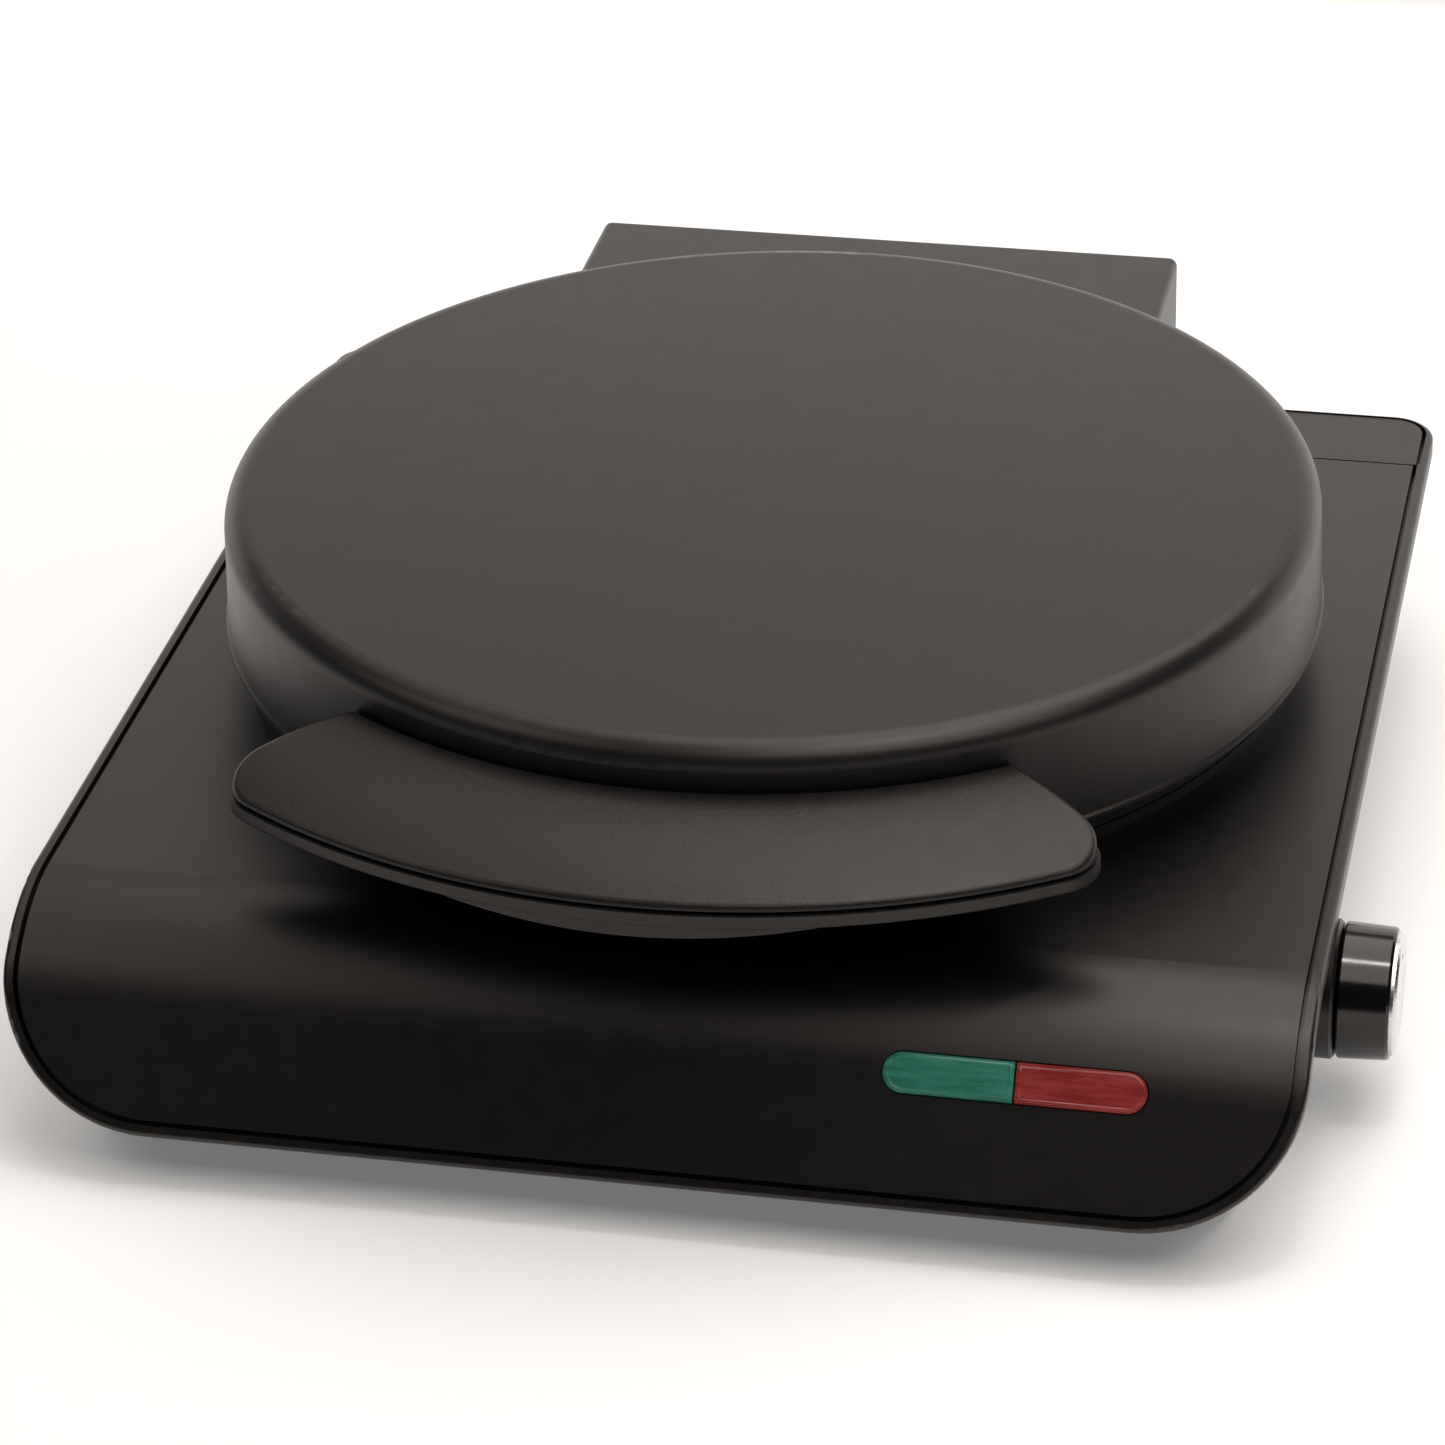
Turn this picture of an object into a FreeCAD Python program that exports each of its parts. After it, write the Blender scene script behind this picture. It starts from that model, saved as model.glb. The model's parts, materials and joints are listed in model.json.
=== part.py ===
import FreeCAD, Part
import math
import os

V = FreeCAD.Vector

# Plug-in donut maker with a round lid. Millimetres, +Z up, hinge towards +Y.
# Everything is drawn with the lid's axis at x = y = 0 and the table at z = 0.
# save() then moves it, so that the origin is under the middle of the whole box.
LID_AXIS = V(-6.5, 6.7, 0)

# Lid
LID_R = 120.0
LID_TOP = 91.5
LID_RIM = 63.1
LID_WALL = 2.6
LID_EDGE = 5.5
LID_DRAFT = 0.6
LID_BEAD = 0.5

# Base: a deck that bends down into a steep front, framed by a narrow rim
HALF_WIDTH = 134.2
BACK_Y = 131.8
FRONT_Y = -158.5
DECK_TOP = 50.0
FLAT_END_Y = -116.3
BEND_R = 32.6
SLOPE = math.radians(56.8)
CORNER_R = 33.2
BACK_CORNER_R = 10.0
RIM_WIDTH = 2.3
RIM_DEPTH = 4.7
RIM_EDGE = 1.1
GROOVE = 1.0
PANEL_TOP = 0.3
PANEL_BOTTOM = 2.8
REAR_SEAM_Y = 107.6
REAR_SEAM_GAP = 0.5
REAR_RIM_WIDTH = 1.7
BACK_RIM_WIDTH = 0.9

# Lower housing and bottom
SIDE_INSET = 13.0
HOUSING_FRONT_INSET = 13.0
HOUSING_BACK_INSET = 2.0
HOUSING_WALL = 2.5
HOUSING_CORNER_R = 20.0
BOTTOM_Z = 5.0
BOTTOM_THICK = 2.0
FOOT_R = 9.0

# Cooking plates: ring-shaped wells, one in the middle and six around it
PLATE_R = 116.5
LOWER_PLATE_TOP = 58.0
PLATE_GAP = 0.4
PLATE_THICK = 2.4
WELL_RING_R = 70.0
WELL_COUNT = 6
WELL_MAJOR = 19.5
WELL_MINOR = 10.5
WELL_WALL = 2.5
POST_RING_R = 108.5
RIB_R = 111.2
ELEMENT_R = 3.3
PLATE_POSTS = (30, 150, 270)
LOWER_FLANGE = 46.4
UPPER_FLANGE = 69.1
LID_POSTS = (0, 120, 240)
COLLAR_POSTS = (20, 140, 260)
COLLAR_SCREW_R = 114.2

# Hinge
HINGE_Y = 131.6
HINGE_Z = 64.0
KNUCKLE_R = 13.5
BLOCK_HALF = 70.1
BLOCK_TOP = 81.9
BLOCK_LOW = 60.0
BLOCK_WALL = 2.4
PIN_R = 4.0
PIN_CLEAR = 0.05
BUSH_R = 6.0
BLOCK_EDGE = 2.0
BRACKET_X = 50.0
BRACKET_THICK = 3.0

# Handle: a domed cover on a shallow tray whose lip shows round the cover
HANDLE_IN = 120.4
HANDLE_OUT = 152.7
HANDLE_TOP = 81.8
HANDLE_DOME_R = 75.0
HANDLE_PART = 73.0
HANDLE_LIP_LOW = 70.0
HANDLE_BELLY_LOW = 67.0
HANDLE_BELLY_R = 268.0
HANDLE_END = (70.8, -98.6)
HANDLE_FLARE = math.radians(51.9)
HANDLE_CORNER = 10.5
HANDLE_EDGE = 1.5
HANDLE_STEP = 0.8
HANDLE_WALL = 2.4
HANDLE_SCREW_R = 138.0
HANDLE_SCREW_ANGLES = (-115, -65)

# Thermostat knob on the right side
KNOB_Y = -84.2
KNOB_Z = 26.0
KNOB_R = 13.8
KNOB_END = 147.3
KNOB_START = 135.2
COLLAR_END = 134.6
SHAFT_R = 3.0

# Cord inlet and terminals
GLAND_X = -92.0
GLAND_Z = 27.0
GLAND_R = 6.0
CORD_R = 3.5
TERMINAL_X = -58.0

# Indicator lenses, on the front slope
LENS_X = 76.3
LENS_LENGTH = 53.0
LENS_WIDTH = 8.2
LENS_Y = -143.5


def box(x, y, z):
    """Box between the two values given for each of x, y and z."""
    return Part.makeBox(x[1] - x[0], y[1] - y[0], z[1] - z[0], V(x[0], y[0], z[0]))


def rod(radius, start, end):
    """Round rod from one point to another."""
    run = V(*end) - V(*start)
    return Part.makeCylinder(radius, run.Length, V(*start), run)


def tube(outer, inner, start, end):
    """Round tube from one point to another."""
    return rod(outer, start, end).cut(rod(inner, start, end))


def disc(radius, low, high):
    """Round plate about the lid's axis."""
    return rod(radius, (0, 0, low), (0, 0, high))


def ring(outer, inner, low, high):
    """Flat ring about the lid's axis."""
    return disc(outer, low, high).cut(disc(inner, low, high))


def join(shapes):
    """One solid out of touching shapes."""
    return shapes[0].fuse(shapes[1:]).removeSplitter()


def mirrored(shape):
    """The same shape on the other side of the appliance."""
    return shape.mirror(V(0, 0, 0), V(1, 0, 0))


def around(radius, angles):
    """Points on a circle about the lid's axis, at angles in degrees."""
    turns = [math.radians(angle) for angle in angles]
    return [(radius * math.cos(turn), radius * math.sin(turn)) for turn in turns]


def face_yz(points, x):
    """Flat face in the plane at x, from (y, z) points."""
    corners = [V(x, y, z) for y, z in points]
    return Part.Face(Part.makePolygon(corners + corners[:1]))


def save(name, shape):
    """Write one piece in the part's own frame."""
    placed = shape.copy()
    placed.translate(LID_AXIS)
    placed.exportStep("parts/" + name + ".step")


def middle(edge):
    """The point half way along an edge."""
    return edge.valueAt((edge.FirstParameter + edge.LastParameter) / 2)


def edges_along(shape, direction):
    """A shape's straight edges that run along a direction."""
    found = []
    for edge in shape.Edges:
        run = edge.valueAt(edge.LastParameter) - edge.valueAt(edge.FirstParameter)
        straight = abs(run.Length - edge.Length) < 0.001
        if straight and run.cross(direction).Length < 0.001 * run.Length:
            found.append(edge)
    return found


def deck_outline(inset, back_inset):
    """Solid inside the base's outline: square to the slope in front, upright at the back."""
    half = HALF_WIDTH - inset
    front = FRONT_Y + inset * math.cos(SLOPE)
    back = BACK_Y - back_inset
    low = -20.0
    high = DECK_TOP + 20.0

    def on_front(z):
        return front - (z - deck_height(front)) * math.tan(SLOPE)

    points = [(on_front(high), high), (on_front(low), low), (back, low), (back, high)]
    body = face_yz(points, -half).extrude(V(2 * half, 0, 0))
    square = V(0, -math.sin(SLOPE), math.cos(SLOPE))
    body = body.makeFillet(CORNER_R - inset, edges_along(body, square))
    return body.makeFillet(BACK_CORNER_R - inset, edges_along(body, V(0, 0, 1)))


def housing_prism(inset, low, high):
    """Upright prism of the lower housing's plan, inset from its outer wall."""
    half = HALF_WIDTH - SIDE_INSET - inset
    front = FRONT_Y + HOUSING_FRONT_INSET + inset
    back = BACK_Y - HOUSING_BACK_INSET - inset
    body = box((-half, half), (front, back), (low, high))
    return body.makeFillet(HOUSING_CORNER_R - inset, edges_along(body, V(0, 0, 1)))


def below_deck(depth):
    """All the space under the deck, from a depth measured square to its surface."""
    radius = BEND_R - depth
    side = HALF_WIDTH + 20
    floor = -20.0
    centre_z = DECK_TOP - BEND_R

    def on_bend(angle):
        return V(-side, FLAT_END_Y - radius * math.sin(angle), centre_z + radius * math.cos(angle))

    end = on_bend(SLOPE)
    drop = end.z - floor
    foot = V(-side, end.y - drop / math.tan(SLOPE), floor)
    top_back = V(-side, BACK_Y + 20, DECK_TOP - depth)
    low_back = V(-side, BACK_Y + 20, floor)
    edges = [
        Part.LineSegment(top_back, on_bend(0)).toShape(),
        Part.Arc(on_bend(0), on_bend(SLOPE / 2), end).toShape(),
        Part.LineSegment(end, foot).toShape(),
        Part.LineSegment(foot, low_back).toShape(),
        Part.LineSegment(low_back, top_back).toShape(),
    ]
    return Part.Face(Part.Wire(edges)).extrude(V(2 * side, 0, 0))


def deck_height(y):
    """Height of the deck's top surface."""
    back = FLAT_END_Y - y
    reach = BEND_R * math.sin(SLOPE)
    if back <= 0:
        return DECK_TOP
    if back < reach:
        return DECK_TOP - BEND_R + math.sqrt(BEND_R ** 2 - back ** 2)
    return DECK_TOP - BEND_R * (1 - math.cos(SLOPE)) - (back - reach) * math.tan(SLOPE)


def rim_frame():
    """Narrow moulded frame round the deck, with a ledge inside that carries the panels."""
    outer = deck_outline(0, 0)
    body = outer.common(below_deck(0)).cut(below_deck(RIM_DEPTH))
    body = body.makeFillet(RIM_EDGE, outer_top_edges(body))
    panel_room = deck_outline(RIM_WIDTH, BACK_RIM_WIDTH)
    rear_room = deck_outline(REAR_RIM_WIDTH, BACK_RIM_WIDTH)
    behind_seam = box((-200, 200), (REAR_SEAM_Y, 200), (-20, 80))
    room = panel_room.fuse(rear_room.common(behind_seam)).cut(below_deck(PANEL_BOTTOM + 0.05))
    body = body.cut(room).cut(housing_prism(HOUSING_WALL + 2.5, -20, 80))
    for cutter in bracket_slots() + [lens_prism(3.4, -14, 4, -1, 1)]:
        body = body.cut(cutter)
    return body


def outer_top_edges(body):
    """The rim's outer edge, along the sides, the back and the front corners."""
    found = []
    for edge in body.Edges:
        points = [edge.valueAt(edge.getParameterByLength(edge.Length * part)) for part in (0.1, 0.5, 0.9)]
        if all(abs(point.z - deck_height(point.y)) < 0.02 for point in points):
            found.append(edge)
    return found


def wire_port():
    """Opening under the hinge block for the lid's wires."""
    return box((-18, 18), (113, 125), (30, 60))


def bracket_slots():
    """Slots in the rear cover for the two hinge brackets."""
    slot = box((BRACKET_X - 0.6, BRACKET_X + BRACKET_THICK + 0.6), (118.6, 128.2), (30, 60))
    return [slot, mirrored(slot)]


def deck_layer(inset, back_inset):
    """The layer that both top panels are cut from."""
    layer = below_deck(PANEL_TOP).cut(below_deck(PANEL_BOTTOM))
    return layer.common(deck_outline(inset, back_inset))


def top_panel(layer, side):
    """Panel on one side of the seam, with its share of the collar round the lower plate."""
    collar_in = PLATE_R - 4.0
    collar = ring(PLATE_R - 0.6, collar_in, DECK_TOP - PANEL_BOTTOM, LOWER_PLATE_TOP - PLATE_THICK - 0.3)
    return join([layer.common(side).cut(disc(collar_in, 0, 80)), collar.common(side)])


def deck_panel():
    """Top panel with its bend, most of the collar, and the lens window."""
    ahead = box((-200, 200), (-200, REAR_SEAM_Y - REAR_SEAM_GAP), (-20, 90))
    panel = top_panel(deck_layer(RIM_WIDTH + GROOVE, BACK_RIM_WIDTH + 0.3), ahead)
    for x, y in around(COLLAR_SCREW_R, COLLAR_POSTS):
        panel = panel.cut(rod(1.0, (x, y, 0), (x, y, 52)))
    return panel.cut(lens_prism(0.3, -8, 4, -1, 1))


def rear_cover():
    """Strip across the back of the deck, with the rest of the collar."""
    behind = box((-200, 200), (REAR_SEAM_Y, 200), (-20, 90))
    cover = top_panel(deck_layer(REAR_RIM_WIDTH + GROOVE, BACK_RIM_WIDTH + 0.3), behind)
    for slot in bracket_slots() + [wire_port()]:
        cover = cover.cut(slot)
    return cover


def boss_places():
    """Where the bottom cover is screwed to the housing."""
    return [(side * 111.5, y) for side in (-1, 1) for y in (-112, -2, 104)]


def lower_housing():
    """Side walls under the rim, with screw bosses and holes for the knob, the cord and the hinge screws."""
    low = BOTTOM_Z + BOTTOM_THICK
    walls = housing_prism(0, low, 60).cut(housing_prism(HOUSING_WALL, low, 60))
    posts = [rod(5.0, (x, y, low), (x, y, 60)) for x, y in boss_places()]
    bridges = []
    for x, y in boss_places():
        wall_x = math.copysign(HALF_WIDTH - SIDE_INSET - 1, x)
        bridges.append(box(sorted((x, wall_x)), (y - 1.2, y + 1.2), (low, 60)))
    body = join([walls] + posts + bridges).common(below_deck(RIM_DEPTH + 0.05))
    body = body.common(housing_prism(0, 0, 60))
    wall_x = HALF_WIDTH - SIDE_INSET
    body = body.cut(rod(9.0, (wall_x - 8, KNOB_Y, KNOB_Z), (wall_x + 8, KNOB_Y, KNOB_Z)))
    body = body.cut(rod(GLAND_R, (GLAND_X, BACK_Y - 10, GLAND_Z), (GLAND_X, BACK_Y + 10, GLAND_Z)))
    for x, y in boss_places():
        body = body.cut(rod(1.6, (x, y, 0), (x, y, 24)))
    for x, z in bracket_screw_places():
        body = body.cut(rod(2.0, (x, BACK_Y - 10, z), (x, BACK_Y + 10, z)))
    return body


def bottom_cover():
    """Flat bottom with vent slots, counterbores for its screws and sockets for the feet."""
    cover = housing_prism(0, BOTTOM_Z, BOTTOM_Z + BOTTOM_THICK)
    slot = box((-22, 22), (-1.5, 1.5), (0, 20))
    slot = join([slot] + [rod(1.5, (x, 0, 0), (x, 0, 20)) for x in (-22, 22)])
    cuts = []
    for column in (-62, 0, 62):
        for row in range(-3, 4):
            vent = slot.copy()
            vent.translate(V(column, row * 9.0 - 12, 0))
            cuts.append(vent)
    for x, y in boss_places():
        cuts.append(rod(1.6, (x, y, 0), (x, y, 20)))
        cuts.append(rod(3.4, (x, y, 0), (x, y, BOTTOM_Z + 0.8)))
    for x, y in foot_places():
        cuts.append(rod(FOOT_R - 4, (x, y, 0), (x, y, 20)))
    return cover.cut(Part.makeCompound(cuts))


def foot_places():
    """The four feet."""
    return [(side * 92, y) for side in (-1, 1) for y in (-122, 104)]


def rubber_feet():
    """Soft feet, each held by a plug through the bottom."""
    feet = []
    for x, y in foot_places():
        pad = Part.makeCone(FOOT_R - 1, FOOT_R, BOTTOM_Z, V(x, y, 0))
        plug = rod(FOOT_R - 4, (x, y, BOTTOM_Z), (x, y, BOTTOM_Z + BOTTOM_THICK))
        head = rod(FOOT_R - 3, (x, y, BOTTOM_Z + BOTTOM_THICK), (x, y, BOTTOM_Z + BOTTOM_THICK + 1.5))
        feet.append(join([pad, plug, head]))
    return Part.makeCompound(feet)


def screw(radius, head_radius, head, tip, head_height):
    """Cross-head screw from its head's outer face to its tip."""
    run = (V(*tip) - V(*head)).normalize()
    neck = V(*head) + run * head_height
    body = join([rod(head_radius, head, tuple(neck)), rod(radius, tuple(neck), tip)])
    side = run.cross(V(1, 0, 0)) if abs(run.x) < 0.9 else run.cross(V(0, 1, 0))
    across = run.cross(side)
    depth = head_height * 0.55
    reach = head_radius * 0.6
    for one, other in ((side, across), (across, side)):
        corner = V(*head) - one * reach - other * (reach * 0.22)
        points = [corner, corner + one * 2 * reach, corner + one * 2 * reach + other * (reach * 0.44),
                  corner + other * (reach * 0.44)]
        slot = Part.Face(Part.makePolygon(points + points[:1])).extrude(run * depth)
        body = body.cut(slot)
    return body


def bottom_screws():
    """Screws that hold the bottom to the housing."""
    screws = [screw(1.6, 3.2, (x, y, BOTTOM_Z - 0.6), (x, y, 22), 1.4) for x, y in boss_places()]
    return Part.makeCompound(screws)


def wells(minor, level):
    """The ring-shaped wells as solid rings, centred on a level."""
    centres = [(0.0, 0.0)] + around(WELL_RING_R, [60 * turn for turn in range(WELL_COUNT)])
    return [Part.makeTorus(WELL_MAJOR, minor, V(x, y, level)) for x, y in centres]


def cooking_plate(face, upward):
    """Cast plate with seven ring-shaped wells, pressed out of a flat disc, and three screw posts."""
    step = 1 if upward else -1
    back = face + step * PLATE_THICK
    deep = face + step * (WELL_MINOR + WELL_WALL + 10)
    plate = disc(PLATE_R, min(face, back), max(face, back))
    half_space = disc(PLATE_R, min(face, deep), max(face, deep))
    swells = [well.common(half_space) for well in wells(WELL_MINOR + WELL_WALL, face)]
    end = back + step * 8.2
    rib_end = back + step * 6.0
    rib = ring(RIB_R, RIB_R - 2.0, min(back, rib_end), max(back, rib_end))
    posts = [rod(3.2, (x, y, back), (x, y, end)) for x, y in around(POST_RING_R, PLATE_POSTS)]
    body = join([plate, rib] + swells + posts)
    body = body.cut(Part.makeCompound(wells(WELL_MINOR, face)))
    for x, y in around(POST_RING_R, PLATE_POSTS):
        body = body.cut(rod(1.5, (x, y, end - step * 7), (x, y, end)))
    return body


def heating_element(level, away):
    """Tubular heater bent into an open ring, with its two ends turned away from the plate."""
    start = math.radians(8)
    loop = Part.makeTorus(WELL_RING_R, ELEMENT_R, V(0, 0, level), V(0, 0, 1), 0, 360, 344)
    loop.rotate(V(0, 0, 0), V(0, 0, 1), 98)
    pieces = [loop]
    for side in (-1, 1):
        x = side * WELL_RING_R * math.sin(start)
        y = WELL_RING_R * math.cos(start)
        pieces.append(Part.makeSphere(ELEMENT_R, V(x, y, level)))
        pieces.append(rod(ELEMENT_R, (x, y, level), (x, y, level + away * 7)))
        pieces.append(rod(1.2, (x, y, level), (x, y, level + away * 13)))
    return join(pieces)


def reflector(flange, floor, wall_radius, rim_radius, hole_ring):
    """Pressed sheet dish behind a heating element, with holes for the element's ends and the screws."""
    thick = 0.8
    step = 1 if floor > flange else -1
    flange_far = flange + step * thick
    floor_far = floor + step * thick
    dish = join([
        ring(rim_radius, wall_radius - thick, min(flange, flange_far), max(flange, flange_far)),
        ring(wall_radius, wall_radius - thick, min(flange, floor_far), max(flange, floor_far)),
        disc(wall_radius, min(floor, floor_far), max(floor, floor_far)),
    ])
    start = math.radians(8)
    for side in (-1, 1):
        x = side * WELL_RING_R * math.sin(start)
        y = WELL_RING_R * math.cos(start)
        dish = dish.cut(rod(5.0, (x, y, 0), (x, y, 120)))
    for radius, angles, hole in hole_ring:
        for x, y in around(radius, angles):
            dish = dish.cut(rod(hole, (x, y, 0), (x, y, 120)))
    return dish


def lower_reflector():
    """Dish under the lower plate, screwed to the plate and to the deck's collar."""
    holes = [(POST_RING_R, PLATE_POSTS, 1.7), (COLLAR_SCREW_R, COLLAR_POSTS, 1.0)]
    return reflector(LOWER_FLANGE, 33.6, 104.8, 115.8, holes)


def upper_reflector():
    """Dish over the upper plate, screwed to the plate and to the lid."""
    holes = [(POST_RING_R, PLATE_POSTS, 1.7), (POST_RING_R, LID_POSTS, 1.7)]
    return reflector(UPPER_FLANGE, 81.0, 103.0, 114.0, holes)


def lower_plate_screws():
    """Screws up through the lower dish into the plate's posts."""
    low = LOWER_FLANGE - 0.8
    places = around(POST_RING_R, PLATE_POSTS)
    return Part.makeCompound([screw(1.5, 2.8, (x, y, low - 2), (x, y, 53.5), 2.0) for x, y in places])


def collar_screws():
    """Small screws up through the lower dish into the deck's collar."""
    low = LOWER_FLANGE - 0.8
    places = around(COLLAR_SCREW_R, COLLAR_POSTS)
    return Part.makeCompound([screw(1.0, 2.0, (x, y, low - 1.4), (x, y, 52), 1.4) for x, y in places])


def upper_plate_screws():
    """Screws down through the upper dish into the plate's posts."""
    high = UPPER_FLANGE + 0.8
    places = around(POST_RING_R, PLATE_POSTS)
    return Part.makeCompound([screw(1.5, 2.8, (x, y, high + 2), (x, y, 63.0), 2.0) for x, y in places])


def lid_screws():
    """Screws up through the upper dish into the lid's posts."""
    places = around(POST_RING_R, LID_POSTS)
    screws = [screw(1.5, 2.8, (x, y, UPPER_FLANGE - 2), (x, y, 79), 2.0) for x, y in places]
    return Part.makeCompound(screws)


def revolved(points, arcs):
    """Face in the x-z half plane. An edge named in arcs bends through a middle point."""
    edges = []
    for index, point in enumerate(points):
        following = points[(index + 1) % len(points)]
        first = V(point[0], 0, point[1])
        last = V(following[0], 0, following[1])
        if index in arcs:
            middle = V(arcs[index][0], 0, arcs[index][1])
            edges.append(Part.Arc(first, middle, last).toShape())
        else:
            edges.append(Part.LineSegment(first, last).toShape())
    return Part.Face(Part.Wire(edges))


def lid_shell():
    """Round flat-topped lid, with posts for the upper plate and openings for the handle and the hinge."""
    top_r = LID_R - LID_DRAFT
    inner = LID_WALL
    bow = LID_EDGE * (1 - math.sqrt(0.5))
    bow_in = (LID_EDGE - inner) * (1 - math.sqrt(0.5))
    points = [
        (0, LID_TOP),
        (top_r - LID_EDGE, LID_TOP),
        (top_r, LID_TOP - LID_EDGE),
        (LID_R, LID_RIM + 1.6),
        (LID_R + LID_BEAD, LID_RIM + 1.1),
        (LID_R + LID_BEAD, LID_RIM + 0.3),
        (LID_R + LID_BEAD - 0.3, LID_RIM),
        (LID_R - inner, LID_RIM),
        (top_r - inner, LID_TOP - LID_EDGE),
        (top_r - LID_EDGE, LID_TOP - inner),
        (0, LID_TOP - inner),
    ]
    arcs = {
        1: (top_r - bow, LID_TOP - bow),
        8: (top_r - inner - bow_in, LID_TOP - inner - bow_in),
    }
    shell = revolved(points, arcs).revolve(V(0, 0, 0), V(0, 0, 1), 360)
    low = UPPER_FLANGE + 0.8
    posts = [rod(4.0, (x, y, low), (x, y, LID_TOP - 1)) for x, y in around(POST_RING_R, LID_POSTS)]
    body = join([shell] + posts)
    for x, y in around(POST_RING_R, LID_POSTS):
        body = body.cut(rod(1.5, (x, y, 0), (x, y, 79)))
    body = body.cut(box((-30, 30), (100, 140), (72, 80)))
    for screw_x, screw_z in lid_block_screws():
        body = body.cut(rod(1.5, (screw_x, 90, screw_z), (screw_x, 130, screw_z)))
    for lug in handle_lugs(0.2):
        body = body.cut(lug)
    return body


def lid_block_screws():
    """Where the hinge block is screwed to the lid's wall."""
    return [(-24, 69.0), (0, 69.0), (24, 69.0)]


def block_section(grow, low):
    """Side view of the hinge block, shrunk by a wall thickness: flat top, upright back, round knuckle."""
    radius = KNUCKLE_R - grow
    back = HINGE_Y + KNUCKLE_R - grow
    top = BLOCK_TOP - grow
    reach = math.sqrt(radius ** 2 - (HINGE_Z - low) ** 2)
    front = HINGE_Y - reach
    edge = 2.2 if grow == 0 else 0.8
    slant = edge * (1 - math.sqrt(0.5))

    def point(y, z):
        return V(0, y, z)

    edges = [
        Part.LineSegment(point(80, top), point(back - edge, top)),
        Part.Arc(point(back - edge, top), point(back - slant, top - slant), point(back, top - edge)),
        Part.LineSegment(point(back, top - edge), point(back, HINGE_Z)),
        Part.Arc(point(back, HINGE_Z), point(HINGE_Y, HINGE_Z - radius), point(front, low)),
        Part.LineSegment(point(front, low), point(80, low)),
        Part.LineSegment(point(80, low), point(80, top)),
    ]
    return Part.Face(Part.Wire([edge_line.toShape() for edge_line in edges]))


def block_solid(grow, low):
    """Hinge block without its hollow, across the full width."""
    half = BLOCK_HALF - grow
    face = block_section(grow, low)
    face.translate(V(-half, 0, 0))
    return face.extrude(V(2 * half, 0, 0))


def end_edges(body):
    """The edges round the block's two end faces, along its top, back and knuckle."""
    found = []
    for edge in body.Edges:
        point = middle(edge)
        on_end = abs(abs(point.x) - BLOCK_HALF) < 0.01
        outside = edge.BoundBox.YMax > 81 and (point.z > BLOCK_LOW + 0.1 or point.y > HINGE_Y)
        if on_end and outside:
            found.append(edge)
    return found


def hinge_block():
    """Hollow block behind the lid. It turns with the lid, round two pins, and its webs hold the bushes."""
    outer = block_solid(0, BLOCK_LOW)
    outer = outer.makeFillet(BLOCK_EDGE, end_edges(outer))
    outer = outer.cut(disc(LID_R + 0.15, 0, LID_TOP)).cut(disc(LID_R + LID_BEAD + 0.3, 0, LID_RIM + 1.9))
    inner = block_solid(BLOCK_WALL, BLOCK_LOW + BLOCK_WALL).cut(disc(LID_R + 2.55, 0, LID_TOP))
    webs = []
    for x in (BRACKET_X - 5.0, BRACKET_X + BRACKET_THICK + 1.0):
        web = box((x, x + 4.0), (110, 150), (40, 90))
        webs.append(web)
        webs.append(mirrored(web))
    body = outer.cut(inner).fuse([web.common(inner) for web in webs])
    slot_x = (BRACKET_X - 0.8, BRACKET_X + BRACKET_THICK + 0.8)
    slot = box(slot_x, (117.5, 150), (40, HINGE_Z + 0.8))
    eye = rod(8.4, (slot_x[0], HINGE_Y, HINGE_Z), (slot_x[1], HINGE_Y, HINGE_Z))
    for cutter in (slot, eye):
        body = body.cut(cutter).cut(mirrored(cutter))
    axle = rod(BUSH_R, (BRACKET_X - 6, HINGE_Y, HINGE_Z), (BRACKET_X + BRACKET_THICK + 6, HINGE_Y, HINGE_Z))
    body = body.cut(axle).cut(mirrored(axle))
    body = body.cut(box((-30, 30), (100, 127), (72, 80)).common(disc(LID_R + 3, 60, 90)))
    for x, z in lid_block_screws():
        body = body.cut(rod(1.7, (x, 100, z), (x, LID_R + 6, z)))
    return body.removeSplitter()


def block_screws():
    """Screws that hold the hinge block to the lid's wall, driven from inside the lid."""
    screws = []
    for x, z in lid_block_screws():
        wall = math.sqrt((LID_R - LID_WALL) ** 2 - x ** 2)
        screws.append(screw(1.5, 2.6, (x, wall - 3.0, z), (x, wall + 6.5, z), 2.0))
    return Part.makeCompound(screws)


def hinge_bushes():
    """Plain bushes in the block's four webs."""
    bushes = []
    for x in (BRACKET_X - 5.0, BRACKET_X + BRACKET_THICK + 1.0):
        bush = tube(BUSH_R, PIN_R + PIN_CLEAR, (x, HINGE_Y, HINGE_Z), (x + 4.0, HINGE_Y, HINGE_Z))
        bushes.append(bush)
        bushes.append(mirrored(bush))
    return Part.makeCompound(bushes)


def hinge_pin():
    """Headed steel pin on the right, fixed in its bracket."""
    end = BRACKET_X + BRACKET_THICK + 6.2
    pin = rod(PIN_R, (BRACKET_X - 6.5, HINGE_Y, HINGE_Z), (end, HINGE_Y, HINGE_Z))
    head = rod(PIN_R + 1.4, (end, HINGE_Y, HINGE_Z), (end + 1.6, HINGE_Y, HINGE_Z))
    return join([pin, head])


def bracket_screw_places():
    """Where the hinge brackets are screwed through the housing's back wall."""
    return [(side * 62, z) for side in (-1, 1) for z in (20, 34)]


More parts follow.
